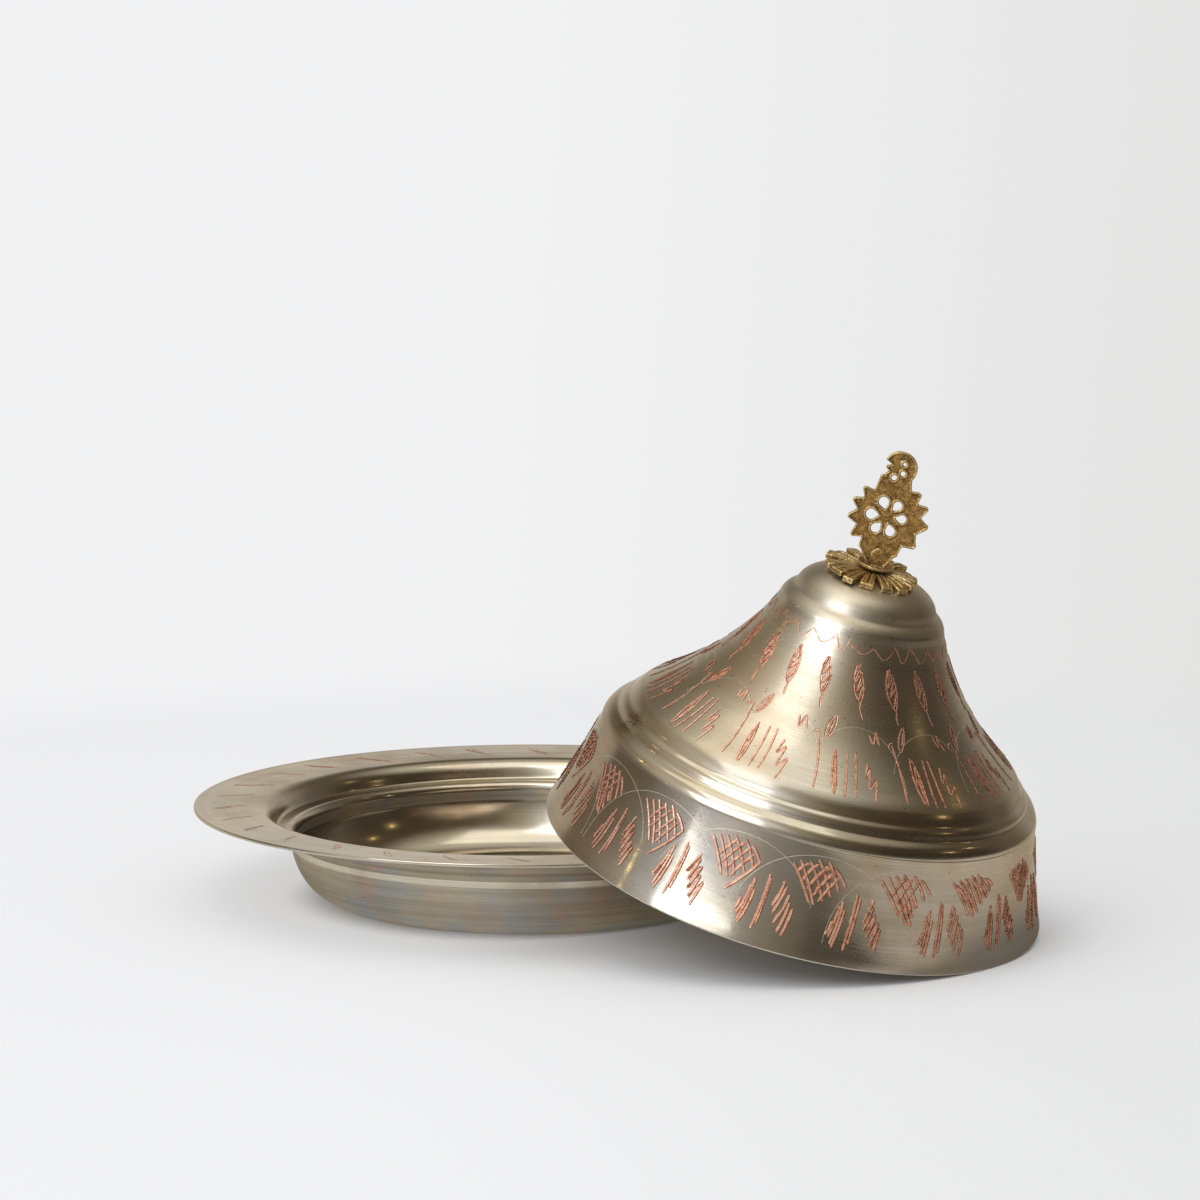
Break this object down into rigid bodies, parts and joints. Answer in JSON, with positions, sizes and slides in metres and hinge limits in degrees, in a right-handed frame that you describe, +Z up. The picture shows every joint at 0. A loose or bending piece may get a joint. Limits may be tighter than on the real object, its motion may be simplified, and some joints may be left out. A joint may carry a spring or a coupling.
{
  "type": "lidded serving dish",
  "caption": "Shallow flanged serving dish in tinned metal with a bell-shaped engraved lid leaning on its flange; rosette and sun-wheel finial on the crown.",
  "frame": {"origin": "centre of the dish's flat base, on the table", "axes": "+Z up, +X along the longest extent towards the leaning lid, -Y towards the viewer of the picture"},
  "size_m": [0.2961, 0.2755, 0.1691],
  "materials": {
    "tinned_dish": "tinned copper sheet, worn satin with fine turning lines",
    "tinned_lid": "tinned copper sheet, worn satin, engraved through to the copper",
    "cast_brass": "rough cast, dull gold brown"
  },
  "bodies": {
    "dish": {"dish": "tinned_dish"},
    "lid": {"lid_shell": "tinned_lid", "lid_washer": "cast_brass", "rosette": "cast_brass", "finial_foot": "cast_brass", "finial_plate": "cast_brass", "finial_rivet": "cast_brass"}
  },
  "joints": [
    {"name": "lid_lift", "type": "slide", "parent": "dish", "child": "lid", "axis": [0, 0, 1], "range_m": [0, 0.09]}
  ]
}
